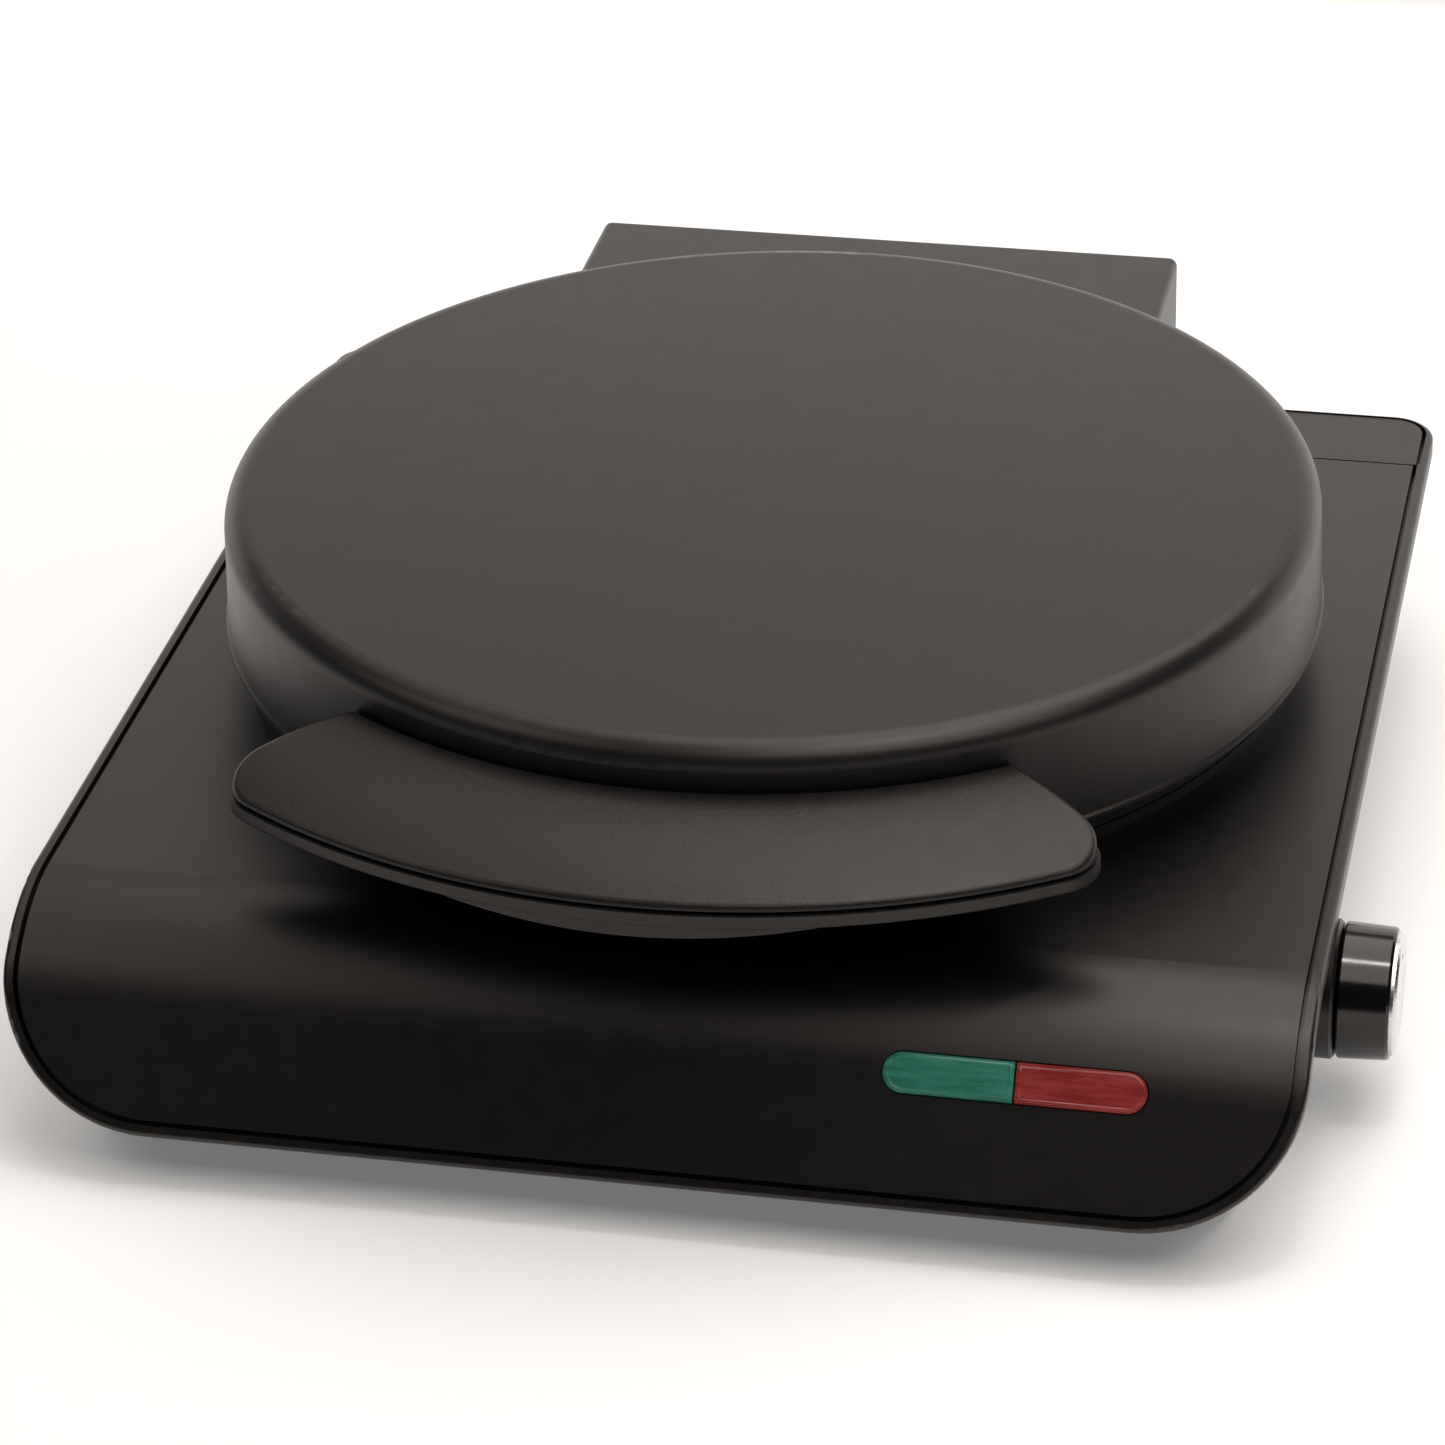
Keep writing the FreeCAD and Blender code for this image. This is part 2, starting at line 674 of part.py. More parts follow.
def hinge_bracket():
    """Steel bracket on the right: an upright leg with an eye for the pin, and a foot on the back wall."""
    wall = BACK_Y - HOUSING_BACK_INSET - HOUSING_WALL
    leg = [(119.4, 14), (wall, 14), (wall, 50.8), (HINGE_Y + 6.2, HINGE_Z - 3.2),
           (HINGE_Y, HINGE_Z), (HINGE_Y - 6.6, HINGE_Z + 2.2), (119.4, 51.5)]
    plate = face_yz(leg, BRACKET_X).extrude(V(BRACKET_THICK, 0, 0))
    eye = rod(7.0, (BRACKET_X, HINGE_Y, HINGE_Z), (BRACKET_X + BRACKET_THICK, HINGE_Y, HINGE_Z))
    foot = box((BRACKET_X, 69), (wall - 2.5, wall), (14, 40))
    body = join([plate, eye, foot])
    body = body.cut(rod(PIN_R, (0, HINGE_Y, HINGE_Z), (100, HINGE_Y, HINGE_Z)))
    for x, z in bracket_screw_places():
        body = body.cut(rod(2.0, (x, 100, z), (x, 150, z)))
    return body


def bracket_screws():
    """Screws through the housing's back wall into the hinge brackets."""
    wall = BACK_Y - HOUSING_BACK_INSET
    screws = [screw(2.0, 3.6, (x, wall + 1.6, z), (x, wall - 9, z), 1.6) for x, z in bracket_screw_places()]
    return Part.makeCompound(screws)


def cable_gland():
    """Flanged inlet in the back wall, where a mains cord enters."""
    wall = BACK_Y - HOUSING_BACK_INSET
    inner = wall - HOUSING_WALL
    body = join([
        rod(GLAND_R, (GLAND_X, inner - 4, GLAND_Z), (GLAND_X, wall + 1, GLAND_Z)),
        rod(GLAND_R + 3, (GLAND_X, wall, GLAND_Z), (GLAND_X, wall + 2.2, GLAND_Z)),
        rod(GLAND_R + 1.8, (GLAND_X, inner - 4, GLAND_Z), (GLAND_X, inner, GLAND_Z)),
    ])
    return body.cut(rod(CORD_R, (GLAND_X, 0, GLAND_Z), (GLAND_X, 200, GLAND_Z)))


def terminal_block():
    """Three-way screw terminal where the cord's wires meet the appliance's."""
    body = box((TERMINAL_X - 16, TERMINAL_X + 16), (104, 116), (7.0, 17))
    for x in (TERMINAL_X - 10, TERMINAL_X, TERMINAL_X + 10):
        body = body.cut(rod(1.8, (x, 100, 12), (x, 125, 12)))
        body = body.cut(rod(2.0, (x, 110, 13), (x, 110, 20)))
    for x in (TERMINAL_X - 5, TERMINAL_X + 5):
        body = body.cut(box((x - 0.8, x + 0.8), (100, 125), (14, 20)))
    return body


def thermal_fuse():
    """One-shot fuse clipped under the lower dish."""
    y = 40.0
    return join([
        rod(2.6, (-14, y, 30.0), (10, y, 30.0)),
        rod(0.6, (-26, y, 30.0), (22, y, 30.0)),
        box((-5, 3), (y - 4, y + 4), (32.0, 32.8)),
        box((-5, 3), (y - 4, y - 3), (28.0, 32.8)),
        box((-5, 3), (y - 4, y), (27.0, 28.0)),
    ])


def grip_outline(inset):
    """Upright solid inside the grip's plan: flared ends, a round front and rounded corners."""
    along = V(math.sin(HANDLE_FLARE), -math.cos(HANDLE_FLARE), 0)
    inward = V(-math.cos(HANDLE_FLARE), -math.sin(HANDLE_FLARE), 0)
    corner = V(HANDLE_END[0], HANDLE_END[1], 40) + inward * inset
    right = [corner - along * 40, corner + along * 60, V(118, -200, 40)]
    left = [V(-point.x, point.y, point.z) for point in reversed(right)]
    plan = Part.Face(Part.makePolygon(right + left + right[:1])).extrude(V(0, 0, 70))
    body = plan.common(disc(HANDLE_OUT - inset, 40, 110))
    front = [edge for edge in edges_along(body, V(0, 0, 1)) if edge.BoundBox.YMax < -100]
    return body.makeFillet(HANDLE_CORNER - inset, front).cut(disc(HANDLE_IN, 30, 120))


def dome(drop):
    """Everything under the grip's domed top, lowered by a wall thickness."""
    centre_z = HANDLE_TOP - HANDLE_DOME_R
    radius = HANDLE_DOME_R - drop

    def on_dome(angle):
        turn = math.radians(angle)
        return (HANDLE_IN + radius * math.sin(turn), centre_z + radius * math.cos(turn))

    points = [(0, 40), (0, HANDLE_TOP - drop), on_dome(0), on_dome(40), (on_dome(40)[0], 40)]
    return revolved(points, {2: on_dome(20)}).revolve(V(0, 0, 0), V(0, 0, 1), 360)


def between(low, high):
    """Everything between two heights."""
    return box((-200, 200), (-200, 200), (low, high))


def away_from_lid(edge):
    """Whether an edge of the grip is clear of its inner wall, which lies against the lid."""
    point = middle(edge)
    return math.hypot(point.x, point.y) > HANDLE_IN + 1


def handle_top():
    """Domed cover of the grip. It stands on a recessed skirt, so that a groove shows round it."""
    skirt_top = HANDLE_PART + 0.7
    cover = dome(0).common(grip_outline(HANDLE_STEP)).common(between(skirt_top, 100))
    top_edges = []
    for edge in cover.Edges:
        upright = edge.BoundBox.XLength < 0.5
        if middle(edge).z > skirt_top + 0.2 and away_from_lid(edge) and not upright:
            top_edges.append(edge)
    cover = cover.makeFillet(HANDLE_EDGE, top_edges)
    skirt = grip_outline(HANDLE_STEP + 1.0).common(between(HANDLE_PART, skirt_top))
    body = join([cover, skirt])
    hollow = dome(HANDLE_WALL).common(grip_outline(HANDLE_STEP + 3.2))
    body = body.cut(hollow.cut(disc(HANDLE_IN + HANDLE_WALL, 30, 120)))
    posts = [rod(4.0, (x, y, HANDLE_PART), (x, y, HANDLE_TOP - 3.3)) for x, y in handle_screw_places()]
    body = join([body] + posts)
    for x, y in handle_screw_places():
        body = body.cut(rod(1.4, (x, y, 60), (x, y, HANDLE_TOP - 4.2)))
    return body


def handle_screw_places():
    """The two screws that close the grip."""
    return around(HANDLE_SCREW_R, HANDLE_SCREW_ANGLES)


def handle_lugs(grow):
    """Two tongues that pass through the lid's wall and carry the grip."""
    lugs = []
    for x in (-38, 38):
        lugs.append(box((x - 9 - grow, x + 9 + grow), (-126, -106), (70.4 - grow, 72.9 + grow)))
    return lugs


def handle_bottom():
    """Tray of the grip: a lip all round, a belly under the middle, and the tongues into the lid."""
    part_z = HANDLE_PART - 0.05
    axis_z = HANDLE_BELLY_LOW + HANDLE_BELLY_R
    belly = rod(HANDLE_BELLY_R, (0, -200, axis_z), (0, 0, axis_z))
    belly = belly.common(between(40, HANDLE_LIP_LOW + 0.5)).common(grip_outline(0.9))
    tray = grip_outline(0).common(between(HANDLE_LIP_LOW, part_z))
    tray = tray.makeFillet(0.7, [edge for edge in tray.Edges if on_lip(edge)])
    lugs = [lug.cut(disc(LID_R - 10, 60, 90)) for lug in handle_lugs(0)]
    body = join([tray, belly] + lugs)
    room = rod(HANDLE_BELLY_R - HANDLE_WALL, (0, -200, axis_z), (0, 0, axis_z)).common(between(40, 80))
    body = body.cut(room.common(grip_outline(3.2)).cut(disc(HANDLE_IN + HANDLE_WALL, 30, 120)))
    for x, y in handle_screw_places():
        body = body.cut(rod(1.6, (x, y, 60), (x, y, 90)))
        body = body.cut(rod(3.0, (x, y, 60), (x, y, HANDLE_LIP_LOW + 1.2)))
    return body


def on_lip(edge):
    """Whether an edge runs round the bottom of the tray's lip."""
    return edge.BoundBox.ZMax < HANDLE_LIP_LOW + 0.01 and away_from_lid(edge)


def handle_screws():
    """Screws that close the grip, from below."""
    screws = []
    for x, y in handle_screw_places():
        screws.append(screw(1.4, 2.8, (x, y, HANDLE_LIP_LOW - 0.4), (x, y, HANDLE_TOP - 4.4), 1.6))
    return Part.makeCompound(screws)


def lens_direction():
    """Centre of the lens window on the deck, and the directions along the slope and out of it."""
    centre = V(LENS_X, LENS_Y, deck_height(LENS_Y))
    down = V(0, -math.cos(SLOPE), -math.sin(SLOPE))
    out = V(0, -math.sin(SLOPE), math.cos(SLOPE))
    return centre, down, out


def lens_prism(grow, low, high, left, right):
    """Round-ended bar square to the slope. left and right, from -1 to 1, choose a part of its length."""
    centre, down, out = lens_direction()
    radius = LENS_WIDTH / 2 + grow
    half = LENS_LENGTH / 2 + grow
    base = centre + out * low
    corners = []
    for x, side in ((-1, -1), (1, -1), (1, 1), (-1, 1)):
        corners.append(base + V(x * (half - radius), 0, 0) + down * (side * radius))
    body = Part.Face(Part.makePolygon(corners + corners[:1])).extrude(out * (high - low))
    ends = [Part.makeCylinder(radius, high - low, base + V(x * (half - radius), 0, 0), out) for x in (-1, 1)]
    body = join([body] + ends)
    if (left, right) == (-1, 1):
        return body
    window = box((LENS_X + left * half, LENS_X + right * half), (-200, -100), (0, 90))
    return body.common(window)


def lens(left, right):
    """One half of the indicator window: a clear shell with a flange behind the panel."""
    face = lens_prism(0, -PANEL_BOTTOM - 0.6, 2, left, right).common(below_deck(-0.15))
    flange = lens_prism(1.8, -PANEL_BOTTOM - 1.6, 4, left, right).common(below_deck(PANEL_BOTTOM + 0.02))
    flange = flange.cut(below_deck(PANEL_BOTTOM + 1.4))
    hollow = lens_prism(-1.6, -9, 4, left + 0.07, right - 0.07).common(below_deck(1.5))
    return join([face.common(below_deck(-0.15)), flange]).cut(hollow)


def lamp_holder():
    """Moulded cradle under the panel that holds both lamps behind their lenses."""
    plate = lens_prism(3.0, -11.5, -9.5, -1, 1)
    arms = []
    for left, right in ((-1, -0.9), (-0.04, 0.04), (0.9, 1)):
        arms.append(lens_prism(1.0, -9.5, -PANEL_BOTTOM - 2.4, left, right))
    return join([plate] + arms)


def lamp(offset):
    """Small neon lamp lying behind its lens."""
    centre, down, out = lens_direction()
    middle = centre + out * -6.8 + V(offset, 0, 0)
    tip = middle + V(8, 0, 0)
    body = join([
        Part.makeCylinder(2.2, 15, middle - V(7, 0, 0), V(1, 0, 0)),
        Part.makeSphere(2.2, tip),
        Part.makeCylinder(0.4, 4, middle - V(10, 0, 0) + down, V(1, 0, 0)),
        Part.makeCylinder(0.4, 4, middle - V(10, 0, 0) - down, V(1, 0, 0)),
    ])
    return body


def thermostat_body():
    """Adjustable thermostat with its threaded neck."""
    body = box((86, 99.6), (KNOB_Y - 15, KNOB_Y + 15), (KNOB_Z - 11, KNOB_Z + 9))
    neck = rod(5.0, (99.6, KNOB_Y, KNOB_Z), (106, KNOB_Y, KNOB_Z))
    tabs = [box((82, 86), (KNOB_Y + y - 0.4, KNOB_Y + y + 0.4), (KNOB_Z - 4, KNOB_Z + 2)) for y in (-8, 8)]
    body = join([body, neck] + tabs)
    return body.cut(rod(SHAFT_R + PIN_CLEAR, (90, KNOB_Y, KNOB_Z), (110, KNOB_Y, KNOB_Z)))


def thermostat_nut():
    """Hexagon nut on the thermostat's neck."""
    corners = [V(101.3, KNOB_Y + y, KNOB_Z + z) for y, z in around(8.6, range(0, 360, 60))]
    nut = Part.Face(Part.makePolygon(corners + corners[:1])).extrude(V(3.2, 0, 0))
    return nut.cut(rod(5.0, (95, KNOB_Y, KNOB_Z), (110, KNOB_Y, KNOB_Z)))


def thermostat_bracket():
    """Bent sheet bracket that carries the thermostat from the side wall."""
    wall = HALF_WIDTH - SIDE_INSET - HOUSING_WALL
    pieces = [box((99.7, 101.2), (KNOB_Y - 22, KNOB_Y + 22), (KNOB_Z - 10, KNOB_Z + 10))]
    for side in (-1, 1):
        edge = KNOB_Y + side * 22
        pieces.append(box((99.7, wall), sorted((edge, edge - side * 1.5)), (KNOB_Z - 10, KNOB_Z + 10)))
        pieces.append(box((wall - 1.5, wall), sorted((edge, edge - side * 9)), (KNOB_Z - 10, KNOB_Z + 10)))
    return join(pieces).cut(rod(5.0, (90, KNOB_Y, KNOB_Z), (110, KNOB_Y, KNOB_Z)))


def thermostat_shaft():
    """Steel shaft from the thermostat to the knob."""
    return rod(SHAFT_R, (91, KNOB_Y, KNOB_Z), (142, KNOB_Y, KNOB_Z))


def turned(points):
    """Solid turned about the knob's axis from (radius, x) points."""
    corners = [V(x, KNOB_Y, KNOB_Z + radius) for radius, x in points]
    face = Part.Face(Part.makePolygon(corners + corners[:1]))
    return face.revolve(V(0, KNOB_Y, KNOB_Z), V(1, 0, 0), 360)


def knob_collar():
    """Fixed collar between the housing's side wall and the knob."""
    wall = HALF_WIDTH - SIDE_INSET
    outer = KNOB_R + 0.7
    return turned([
        (7.0, wall),
        (outer - 0.6, wall),
        (outer, wall + 0.8),
        (outer, COLLAR_END - 0.7),
        (outer - 0.7, COLLAR_END),
        (outer - 2.0, COLLAR_END),
        (outer - 2.0, wall + 2.5),
        (7.0, wall + 2.5),
    ])


def knob():
    """Round knob with a slight taper, a hub on the shaft, and a recess for its cap."""
    end = KNOB_END - 1.4
    return turned([
        (SHAFT_R, KNOB_START - 11),
        (6.0, KNOB_START - 11),
        (6.0, KNOB_START - 1),
        (11.0, KNOB_START - 1),
        (KNOB_R + 0.1, KNOB_START),
        (KNOB_R + 0.4, KNOB_START + 0.4),
        (KNOB_R, end - 0.6),
        (KNOB_R - 0.4, end),
        (KNOB_R - 1.0, end),
        (KNOB_R - 1.0, end - 1.8),
        (0.0, end - 1.8),
        (0.0, 142.0),
        (SHAFT_R, 142.0),
    ])


def knob_cap():
    """Pressed metal cap in the knob's end, with a small index dimple."""
    start = KNOB_END - 3.2
    cap = turned([
        (0.0, start),
        (KNOB_R - 1.0, start),
        (KNOB_R - 1.0, KNOB_END - 0.7),
        (KNOB_R - 1.6, KNOB_END - 0.15),
        (KNOB_R - 3.0, KNOB_END),
        (0.0, KNOB_END),
    ])
    return cap.cut(Part.makeSphere(1.2, V(KNOB_END + 0.5, KNOB_Y, KNOB_Z + 9.5)))


PIECES = {
    "rim_frame": rim_frame,
    "deck_panel": deck_panel,
    "rear_cover": rear_cover,
    "lower_housing": lower_housing,
    "bottom_cover": bottom_cover,
    "bottom_screws": bottom_screws,
    "rubber_feet": rubber_feet,
    "lower_plate": lambda: cooking_plate(LOWER_PLATE_TOP, False),
    "lower_element": lambda: heating_element(LOWER_PLATE_TOP - 13.1 - ELEMENT_R, -1),
    "lower_reflector": lower_reflector,
    "lower_plate_screws": lower_plate_screws,
    "collar_screws": collar_screws,
    "thermal_fuse": thermal_fuse,
    "hinge_bracket_right": hinge_bracket,
    "hinge_bracket_left": lambda: mirrored(hinge_bracket()),
    "hinge_pin_right": hinge_pin,
    "hinge_pin_left": lambda: mirrored(hinge_pin()),
    "bracket_screws": bracket_screws,
    "cable_gland": cable_gland,
    "terminal_block": terminal_block,
    "thermostat_body": thermostat_body,
    "thermostat_nut": thermostat_nut,
    "thermostat_bracket": thermostat_bracket,
    "knob_collar": knob_collar,
    "green_lens": lambda: lens(-1, -0.008),
    "red_lens": lambda: lens(0.008, 1),
    "lamp_holder": lamp_holder,
    "green_lamp": lambda: lamp(-12.5),
    "red_lamp": lambda: lamp(12.5),
    "lid_shell": lid_shell,
    "upper_plate": lambda: cooking_plate(LOWER_PLATE_TOP + PLATE_GAP, True),
    "upper_element": lambda: heating_element(LOWER_PLATE_TOP + PLATE_GAP + 13.1 + ELEMENT_R, 1),
    "upper_reflector": upper_reflector,
    "upper_plate_screws": upper_plate_screws,
    "lid_screws": lid_screws,
    "hinge_block": hinge_block,
    "hinge_bushes": hinge_bushes,
    "block_screws": block_screws,
    "handle_top": handle_top,
    "handle_bottom": handle_bottom,
    "handle_screws": handle_screws,
    "thermostat_shaft": thermostat_shaft,
    "knob": knob,
    "knob_cap": knob_cap,
}

os.makedirs("parts", exist_ok=True)
for piece_name, make in PIECES.items():
    save(piece_name, make())
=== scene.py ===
import json
import math

import bmesh
import bpy
from mathutils import Matrix, Vector


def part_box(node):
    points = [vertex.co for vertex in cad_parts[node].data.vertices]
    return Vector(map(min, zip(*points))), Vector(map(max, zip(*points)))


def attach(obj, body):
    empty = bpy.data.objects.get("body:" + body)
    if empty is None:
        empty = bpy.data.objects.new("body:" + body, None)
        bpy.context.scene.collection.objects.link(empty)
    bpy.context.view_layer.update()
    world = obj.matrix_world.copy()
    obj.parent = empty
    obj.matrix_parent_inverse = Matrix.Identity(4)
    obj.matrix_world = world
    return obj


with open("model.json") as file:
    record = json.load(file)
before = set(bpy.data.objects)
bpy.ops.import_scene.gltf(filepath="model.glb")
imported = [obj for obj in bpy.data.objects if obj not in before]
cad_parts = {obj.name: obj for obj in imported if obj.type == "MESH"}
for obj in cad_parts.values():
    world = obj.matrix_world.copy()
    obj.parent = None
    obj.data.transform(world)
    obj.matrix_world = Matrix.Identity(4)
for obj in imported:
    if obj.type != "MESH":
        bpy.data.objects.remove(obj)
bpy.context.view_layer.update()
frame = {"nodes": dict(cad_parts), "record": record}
nodes = frame["nodes"]

# Places and lengths are in metres, in the frame of the CAD model
lid_low, lid_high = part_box("lid_shell")
LID_AXIS = Vector(((lid_low.x + lid_high.x) / 2, (lid_low.y + lid_high.y) / 2, 0))

# The front slope that carries the lenses: how steep it is, and the direction that it faces
SLOPE = math.radians(56.8)
SLOPE_OUT = Vector((0, -math.sin(SLOPE), math.cos(SLOPE)))

# The view: where the camera points, measured from the lid's axis, and how far away it stands
VIEW_AZIMUTH = math.radians(12.456)
VIEW_ELEVATION = math.radians(29.857)
VIEW_ROLL = math.radians(-1.619)
VIEW_DISTANCE = 1.2895
VIEW_TARGET = LID_AXIS + Vector((-0.02627, 0.06233, -0.00864))
LENS_MM = 135.2
SENSOR_MM = 36.0

WARM = (1.0, 0.94, 0.89)
WHITE = (1.0, 1.0, 1.0)
DOWN = (0, 0, -1)
FORWARD = (0, -1, 0)
AMBIENT = 0.025

# Soft boxes: name, centre, direction of the light, width and height, radiance, colour.
# Two stand behind, two hang high at the back, two hang low over the front bend,
# and the last is a small strip that draws a bright line on the knob.
LIGHTS = [
    ("light_low_back", (-0.15, 0.52, 0.19), FORWARD, (2.2, 0.34), 1.2, WARM),
    ("light_back", (-0.2, 2.0, 1.65), FORWARD, (3.8, 1.3), 0.18, WARM),
    ("light_top_right", (0.475, 0.75, 1.70), DOWN, (1.65, 1.8), 2.8, WARM),
    ("light_top_left", (-0.85, 0.80, 1.70), DOWN, (1.0, 1.7), 1.1, WARM),
    ("light_near_right", (0.29, -0.305, 0.45), DOWN, (0.56, 0.35), 2.4, WARM),
    ("light_near_left", (-0.42, -0.305, 0.45), DOWN, (0.44, 0.35), 1.5, WARM),
    ("light_strip", (0.137, -0.135, 0.43), DOWN, (0.05, 0.022), 42.0, WHITE),
]

FLOOR_HALF = 6.0
FLOOR_GLOW = 0.16

# A lens's face: how far its points may lie below the highest one, and how closely it looks the right way.
# Vertices nearer than WELD are the same point, drawn once for each CAD face.
WELD = 0.00002
FACE_DEPTH = 0.0008
FACE_ALIGNMENT = 0.9

# The bead round a lens: its middle line's distance from the edge, and its section as (across, up)
BEAD_INSET = 0.00072
BEAD_SECTION = [
    (-0.00042, -0.00008), (-0.00034, 0.00010), (-0.00014, 0.00019),
    (0.00014, 0.00019), (0.00034, 0.00010), (0.00042, -0.00008),
]

# The moulded plastic's reflections are slightly warm
GLOSS_TINT = (1.0, 0.94, 0.91, 1.0)


def make_camera():
    """A long lens from the front right, without shift or depth of field."""
    data = bpy.data.cameras.new("camera")
    data.lens = LENS_MM
    data.sensor_width = SENSOR_MM
    data.clip_start = 0.05
    data.clip_end = 50
    camera = bpy.data.objects.new("camera", data)
    bpy.context.scene.collection.objects.link(camera)
    flat = math.cos(VIEW_ELEVATION)
    back = Vector((math.sin(VIEW_AZIMUTH) * flat, -math.cos(VIEW_AZIMUTH) * flat, math.sin(VIEW_ELEVATION)))
    right = Vector((math.cos(VIEW_AZIMUTH), math.sin(VIEW_AZIMUTH), 0))
    up = back.cross(right)
    tilted_right = right * math.cos(VIEW_ROLL) + up * math.sin(VIEW_ROLL)
    tilted_up = up * math.cos(VIEW_ROLL) - right * math.sin(VIEW_ROLL)
    turn = Matrix((tilted_right, tilted_up, back)).transposed()
    camera.matrix_world = Matrix.Translation(VIEW_TARGET + back * VIEW_DISTANCE) @ turn.to_4x4()
    bpy.context.scene.camera = camera


def panel_light(name, place, facing, size, radiance, colour):
    """Soft box that shines along a direction, with its brightness given as radiance."""
    data = bpy.data.lights.new(name, "AREA")
    data.shape = "RECTANGLE"
    data.size, data.size_y = size
    data.energy = radiance * math.pi * size[0] * size[1]
    data.color = colour
    light = bpy.data.objects.new(name, data)
    light.location = place
    light.visible_camera = False
    light.rotation_mode = "QUATERNION"
    light.rotation_quaternion = Vector(facing).to_track_quat("-Z", "Y")
    bpy.context.scene.collection.objects.link(light)


def make_lights():
    """The soft boxes, a faint even world, and colours shown as they are."""
    for light in LIGHTS:
        panel_light(*light)
    world = bpy.data.worlds.new("studio")
    bpy.context.scene.world = world
    world.use_nodes = True
    world.node_tree.nodes["Background"].inputs["Color"].default_value = (1, 1, 1, 1)
    world.node_tree.nodes["Background"].inputs["Strength"].default_value = AMBIENT
    view = bpy.context.scene.view_settings
    view.view_transform = "Standard"
    view.look = "None"
    view.exposure = 0
    view.gamma = 1


class Shader:
    """Small helper that builds a node material: make() adds a node, link() joins two sockets."""

    def __init__(self, name):
        self.material = bpy.data.materials.new(name)
        self.material.use_nodes = True
        self.tree = self.material.node_tree
        self.surface = self.tree.nodes["Principled BSDF"]
        self.place = self.make("ShaderNodeTexCoord").outputs["Object"]

    def make(self, kind, **settings):
        node = self.tree.nodes.new(kind)
        for name, value in settings.items():
            setattr(node, name, value)
        return node

    def link(self, output, node, name):
        self.tree.links.new(output, node.inputs[name])

    def set(self, **values):
        for name, value in values.items():
            self.surface.inputs[name.replace("_", " ")].default_value = value

    def noise(self, scale, detail=3.0, roughness=0.55, stretch=(1, 1, 1)):
        """Noise over the object's own coordinates. scale is in cycles per metre."""
        mapping = self.make("ShaderNodeMapping")
        mapping.inputs["Scale"].default_value = stretch
        self.link(self.place, mapping, "Vector")
        node = self.make("ShaderNodeTexNoise")
        node.inputs["Scale"].default_value = scale
        node.inputs["Detail"].default_value = detail
        node.inputs["Roughness"].default_value = roughness
        self.link(mapping.outputs["Vector"], node, "Vector")
        return node.outputs["Fac"]

    def spread(self, value, low, high, start=0.3, end=0.7):
        """Map a noise value to a range."""
        node = self.make("ShaderNodeMapRange")
        node.inputs["From Min"].default_value = start
        node.inputs["From Max"].default_value = end
        node.inputs["To Min"].default_value = low
        node.inputs["To Max"].default_value = high
        self.link(value, node, "Value")
        return node.outputs["Result"]

    def tint(self, value, dark, light):
        """Colour between two colours, by a value."""
        node = self.make("ShaderNodeMix", data_type="RGBA")
        node.inputs["A"].default_value = (*dark, 1)
        node.inputs["B"].default_value = (*light, 1)
        self.link(value, node, "Factor")
        return node.outputs["Result"]

    def bump(self, value, strength, distance, under=None):
        """Bump from a value, on top of another bump."""
        node = self.make("ShaderNodeBump")
        node.inputs["Strength"].default_value = strength
        node.inputs["Distance"].default_value = distance
        self.link(value, node, "Height")
        if under is not None:
            self.link(under, node, "Normal")
        return node.outputs["Normal"]

    def colour(self, output):
        self.link(output, self.surface, "Base Color")

    def rough(self, output):
        self.link(output, self.surface, "Roughness")

    def normal(self, output):
        self.link(output, self.surface, "Normal")


def moulded(name, colour, roughness, grain, depth, specular=0.5):
    """Moulded plastic with a fine grain, faint clouds of colour and slightly uneven gloss."""
    shader = Shader(name)
    cloud = shader.noise(22, 4)
    patches = shader.noise(160, 3)
    fine = shader.noise(grain, 2, 0.6)
    dark = [part * 0.96 for part in colour]
    light = [part * 1.04 for part in colour]
    shader.colour(shader.tint(shader.spread(cloud, 0, 1), dark, light))
    shader.rough(shader.spread(patches, roughness - 0.02, roughness + 0.02))
    shader.normal(shader.bump(fine, depth, 0.00012))
    shader.set(Specular_IOR_Level=specular, Specular_Tint=GLOSS_TINT)
    return shader.material


def coated(name, colour, roughness):
    """Non-stick coating: fine sparkle and a slight orange peel."""
    shader = Shader(name)
    speck = shader.noise(2600, 2, 0.7)
    peel = shader.noise(420, 3)
    sparkle = (0.055, 0.054, 0.053)
    shader.colour(shader.tint(shader.spread(speck, 0, 1, 0.62, 0.72), colour, sparkle))
    shader.rough(shader.spread(peel, roughness - 0.06, roughness + 0.06))
    shader.normal(shader.bump(peel, 0.25, 0.0001))
    shader.set(Specular_IOR_Level=0.42)
    return shader.material


def metal(name, colour, roughness, stretch=(1, 1, 1), scratches=900):
    """Bare or plated metal with rolling or turning marks. stretch packs the marks closer along an axis."""
    shader = Shader(name)
    lines = shader.noise(scratches, 3, 0.6, stretch)
    stain = shader.noise(35, 4)
    dull = [part * 0.72 for part in colour]
    shader.colour(shader.tint(shader.spread(stain, 0, 1), dull, colour))
    shader.rough(shader.spread(lines, roughness - 0.07, roughness + 0.09))
    shader.normal(shader.bump(lines, 0.18, 0.00005))
    shader.set(Metallic=1.0)
    return shader.material


def rubber(name, colour):
    """Soft matt rubber with a light bloom."""
    shader = Shader(name)
    bloom = shader.noise(90, 4)
    pores = shader.noise(1800, 2)
    pale = [part * 1.9 for part in colour]
    shader.colour(shader.tint(shader.spread(bloom, 0, 1), colour, pale))
    shader.rough(shader.spread(bloom, 0.72, 0.88))
    shader.normal(shader.bump(pores, 0.35, 0.0001))
    return shader.material


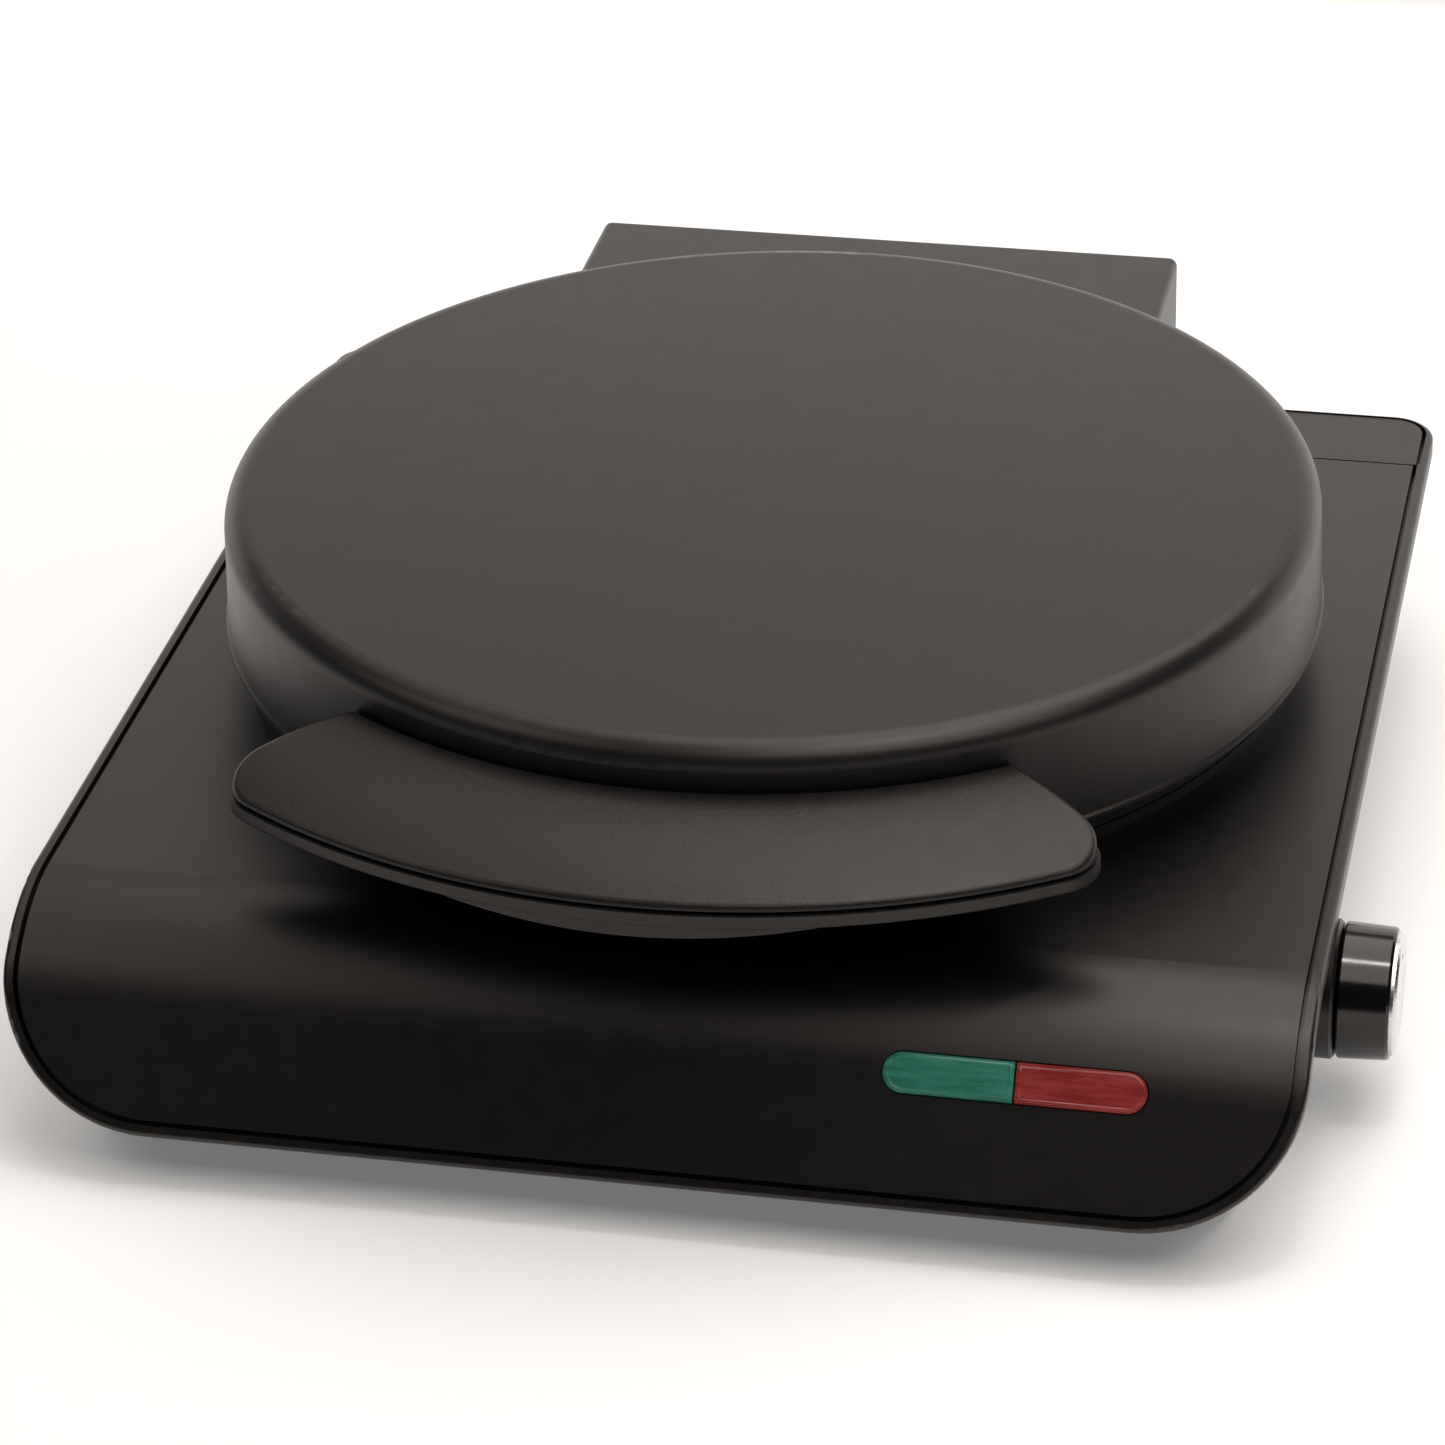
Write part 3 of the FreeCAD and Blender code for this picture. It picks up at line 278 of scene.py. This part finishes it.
def clear_plastic(name, colour, deep):
    """Coloured clear moulding with painted lamp glint: streaks along x between a deeper colour and a
    lighter one.
    """
    shader = Shader(name)
    # painted glint: lighter streaks along x, as if a lamp behind the moulding shone through it
    lamp_glint_streaks = shader.noise(700, 3, 0.6, (0.10, 1, 1))
    shader.colour(shader.tint(shader.spread(lamp_glint_streaks, 0, 1, 0.35, 0.65), deep, colour))
    shader.rough(shader.spread(lamp_glint_streaks, 0.16, 0.26))
    shader.set(IOR=1.49, Transmission_Weight=0.55)
    return shader.material


# Material slots: the function that makes each one, and its values
MATERIALS = {
    "lid_plastic": (moulded, (0.0036, 0.0031, 0.0028), 0.39, 3200, 0.20),
    "deck_plastic": (moulded, (0.0026, 0.0022, 0.0020), 0.38, 3600, 0.16),
    "rim_plastic": (moulded, (0.0030, 0.0026, 0.0024), 0.36, 3400, 0.18),
    "housing_plastic": (moulded, (0.0040, 0.0037, 0.0035), 0.52, 1500, 0.45),
    "grip_plastic": (moulded, (0.0036, 0.0032, 0.0030), 0.42, 1600, 0.50, 0.43),
    "nonstick": (coated, (0.0075, 0.0072, 0.0070), 0.44),
    "heater_tube": (metal, (0.20, 0.18, 0.16), 0.48),
    "sheet_metal": (metal, (0.56, 0.56, 0.54), 0.32, (1, 30, 1)),
    "bracket_steel": (metal, (0.47, 0.48, 0.50), 0.36, (1, 1, 14)),
    "pin_steel": (metal, (0.58, 0.58, 0.60), 0.22, (24, 1, 1)),
    "screw_steel": (metal, (0.50, 0.50, 0.52), 0.30),
    "screw_black": (metal, (0.045, 0.045, 0.048), 0.42),
    "bush_plastic": (moulded, (0.55, 0.52, 0.44), 0.40, 900, 0.15),
    "rubber_black": (rubber, (0.012, 0.012, 0.012)),
    "knob_gloss": (moulded, (0.0030, 0.0030, 0.0034), 0.16, 900, 0.03),
    "cap_metal": (metal, (0.80, 0.80, 0.79), 0.26, (1, 6, 6), 500),
    "green_clear": (clear_plastic, (0.085, 0.44, 0.33), (0.045, 0.30, 0.21)),
    "red_clear": (clear_plastic, (0.56, 0.085, 0.075), (0.40, 0.040, 0.036)),
    "lamp_glass": (clear_plastic, (0.90, 0.84, 0.74), (0.74, 0.66, 0.56)),
    "terminal_white": (moulded, (0.66, 0.65, 0.58), 0.45, 900, 0.2),
    "thermostat_ceramic": (moulded, (0.60, 0.55, 0.45), 0.62, 1200, 0.4),
}

# Materials made so far, by slot
MADE = {}


def paint_nodes():
    """Give every CAD node the material of its slot."""
    for row in frame["record"]["subparts"]:
        name = row["material_slot"]
        if name not in MADE:
            make, *values = MATERIALS[name]
            MADE[name] = make(name, *values)
        mesh = nodes[row["node"]].data
        mesh.materials.clear()
        mesh.materials.append(MADE[name])


def top_outline(node, out):
    """The edge of a node's outermost face, as points in order. out is the way that face looks."""
    mesh = bmesh.new()
    mesh.from_mesh(nodes[node].data)
    bmesh.ops.remove_doubles(mesh, verts=mesh.verts, dist=WELD)
    mesh.normal_update()
    mesh.verts.index_update()
    lowest = max(vertex.co.dot(out) for vertex in mesh.verts) - FACE_DEPTH
    outer = set()
    for face in mesh.faces:
        aligned = face.normal.dot(out) > FACE_ALIGNMENT
        if aligned and min(vertex.co.dot(out) for vertex in face.verts) > lowest:
            outer.add(face)
    follow = {}
    for face in outer:
        for loop in face.loops:
            if not any(other in outer for other in loop.edge.link_faces if other is not face):
                follow[loop.vert.index] = (loop.edge.other_vert(loop.vert).index, loop.vert.co.copy())
    start = min(follow)
    points = []
    index = start
    while True:
        index, place = follow[index]
        points.append(place)
        if index == start:
            break
    mesh.free()
    return points


def inset_loop(points, out, depth):
    """A closed loop moved inwards, with the inward direction at each point."""
    moved = []
    count = len(points)
    for index, point in enumerate(points):
        before = (point - points[index - 1]).normalized()
        after = (points[(index + 1) % count] - point).normalized()
        side_before = out.cross(before)
        side_after = out.cross(after)
        inward = (side_before + side_after) / (1 + side_before.dot(side_after))
        moved.append((point + inward * depth, inward))
    return moved


def add_mesh(name, points, faces, slot_name, body):
    """New smooth piece on a body, in a slot's material."""
    mesh = bpy.data.meshes.new(name)
    mesh.from_pydata(points, [], faces)
    mesh.polygons.foreach_set("use_smooth", [True] * len(mesh.polygons))
    mesh.materials.append(MADE[slot_name])
    piece = bpy.data.objects.new(name, mesh)
    bpy.context.scene.collection.objects.link(piece)
    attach(piece, body)


def lens_border(node, slot_name):
    """Rounded bead just inside the edge of a lens."""
    points = []
    for place, inward in inset_loop(top_outline(node, SLOPE_OUT), SLOPE_OUT, BEAD_INSET):
        for across, up in BEAD_SECTION:
            points.append(place + inward * across + SLOPE_OUT * up)
    size = len(BEAD_SECTION)
    rings = len(points) // size
    faces = []
    for ring in range(rings):
        following = (ring + 1) % rings
        for step in range(size):
            after = (step + 1) % size
            here = (ring * size + step, following * size + step)
            there = (following * size + after, ring * size + after)
            faces.append(here + there)
    add_mesh(node + "_border", points, faces, slot_name, "base")


def make_floor():
    """Plain pale table top that glows a little, which softens the shadows."""
    mesh = bpy.data.meshes.new("floor")
    half = FLOOR_HALF
    corners = [(-half, -half, 0), (half, -half, 0), (half, half, 0), (-half, half, 0)]
    mesh.from_pydata(corners, [], [(0, 1, 2, 3)])
    floor = bpy.data.objects.new("floor", mesh)
    bpy.context.scene.collection.objects.link(floor)
    shader = Shader("floor")
    cloud = shader.noise(3, 3)
    shader.colour(shader.tint(shader.spread(cloud, 0, 1), (0.88, 0.88, 0.88), (0.91, 0.91, 0.91)))
    shader.set(Roughness=0.7, Emission_Color=(1.0, 1.0, 1.0, 1.0), Emission_Strength=FLOOR_GLOW)
    mesh.materials.append(shader.material)


make_camera()
make_lights()
make_floor()
paint_nodes()
lens_border("green_lens", "green_clear")
lens_border("red_lens", "red_clear")
